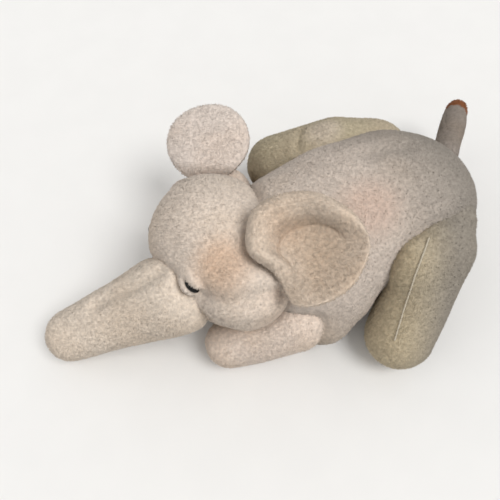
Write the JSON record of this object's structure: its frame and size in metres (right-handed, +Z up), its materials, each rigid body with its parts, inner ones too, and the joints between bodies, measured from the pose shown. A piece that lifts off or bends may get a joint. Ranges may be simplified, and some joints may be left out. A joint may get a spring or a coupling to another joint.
{
  "type": "stuffed elephant",
  "caption": "Limp sewn pile-fabric elephant lying on its belly, with a stuffed head, bent trunk, round ears, legs and tail that each swing at a sewn root.",
  "frame": {"origin": "on the table, under the fullest place of the torso, in the middle of the flat belly face", "axes": "+X towards the tail along the torso, +Y to the right side of the elephant, +Z up"},
  "size_m": [0.2516, 0.1525, 0.0911],
  "materials": {
    "cream_pile_fabric": "short looped pile, matt",
    "grey_pile_fabric": "short looped pile, matt, greyed by wear",
    "ear_lining_fabric": "short looped pile, matt",
    "tail_tip_fabric": "short pile, matt",
    "stuffing": "loose polyester fibre",
    "eye": "gloss",
    "washer": "matt"
  },
  "bodies": {
    "torso": {"torso_left_panel": "cream_pile_fabric", "torso_right_panel": "cream_pile_fabric", "torso_belly_panel": "cream_pile_fabric", "torso_stuffing": "stuffing"},
    "head": {"head_left_panel": "cream_pile_fabric", "head_right_panel": "cream_pile_fabric", "head_stuffing": "stuffing", "left_eye": "eye", "right_eye": "eye", "left_eye_washer": "washer", "right_eye_washer": "washer"},
    "trunk": {"trunk_top_panel": "cream_pile_fabric", "trunk_bottom_panel": "cream_pile_fabric", "trunk_stuffing": "stuffing"},
    "left_ear": {"left_ear_front": "ear_lining_fabric", "left_ear_back": "cream_pile_fabric"},
    "right_ear": {"right_ear_front": "ear_lining_fabric", "right_ear_back": "cream_pile_fabric"},
    "left_front_leg": {"left_front_leg_outer_panel": "cream_pile_fabric", "left_front_leg_inner_panel": "cream_pile_fabric", "left_front_leg_stuffing": "stuffing"},
    "right_front_leg": {"right_front_leg_outer_panel": "cream_pile_fabric", "right_front_leg_inner_panel": "cream_pile_fabric", "right_front_leg_stuffing": "stuffing"},
    "left_hind_leg": {"left_hind_leg_outer_panel": "grey_pile_fabric", "left_hind_leg_inner_panel": "grey_pile_fabric", "left_hind_leg_stuffing": "stuffing"},
    "right_hind_leg": {"right_hind_leg_outer_panel": "grey_pile_fabric", "right_hind_leg_inner_panel": "grey_pile_fabric", "right_hind_leg_stuffing": "stuffing"},
    "tail": {"tail_strip": "grey_pile_fabric", "tail_tuft": "tail_tip_fabric"}
  },
  "joints": [
    {"name": "neck_roll", "type": "hinge", "parent": "torso", "child": "head", "pos_m": [-0.057, 0.015, 0.044], "axis": [1, 0, 0], "range_deg": [-12, 2], "stiffness_Nm_per_rad": 0.6},
    {"name": "trunk_root", "type": "hinge", "parent": "head", "child": "trunk", "pos_m": [-0.08475, 0.0091, 0.03423], "axis": [0, 0, 1], "range_deg": [0, 45], "stiffness_Nm_per_rad": 0.12},
    {"name": "left_ear_root", "type": "hinge", "parent": "head", "child": "left_ear", "pos_m": [-0.05177, -0.00597, 0.07166], "axis": [-0.4594, -0.8496, -0.259], "range_deg": [0, 60], "stiffness_Nm_per_rad": 0.02},
    {"name": "right_ear_root", "type": "hinge", "parent": "head", "child": "right_ear", "pos_m": [-0.04714, 0.04727, 0.05368], "axis": [0.8007, -0.5879, 0.1152], "range_deg": [-20, 40], "stiffness_Nm_per_rad": 0.02},
    {"name": "left_shoulder", "type": "hinge", "parent": "torso", "child": "left_front_leg", "pos_m": [-0.0164, -0.02881, 0.01694], "axis": [0, 0, 1], "range_deg": [0, 45], "stiffness_Nm_per_rad": 0.1},
    {"name": "right_shoulder", "type": "hinge", "parent": "torso", "child": "right_front_leg", "pos_m": [-0.0164, 0.02881, 0.01694], "axis": [0, 0, 1], "range_deg": [-8, 0], "stiffness_Nm_per_rad": 0.1},
    {"name": "left_hip", "type": "hinge", "parent": "torso", "child": "left_hind_leg", "pos_m": [0.02983, -0.03115, 0.0462], "axis": [0, 0, 1], "range_deg": [0, 20], "stiffness_Nm_per_rad": 0.15},
    {"name": "right_hip", "type": "hinge", "parent": "torso", "child": "right_hind_leg", "pos_m": [0.03766, 0.02746, 0.03286], "axis": [0, 0, 1], "range_deg": [-40, 0], "stiffness_Nm_per_rad": 0.15},
    {"name": "tail_root", "type": "hinge", "parent": "torso", "child": "tail", "pos_m": [0.06539, 0.00837, 0.04604], "axis": [0, 0, 1], "range_deg": [-45, 15], "stiffness_Nm_per_rad": 0.02}
  ]
}
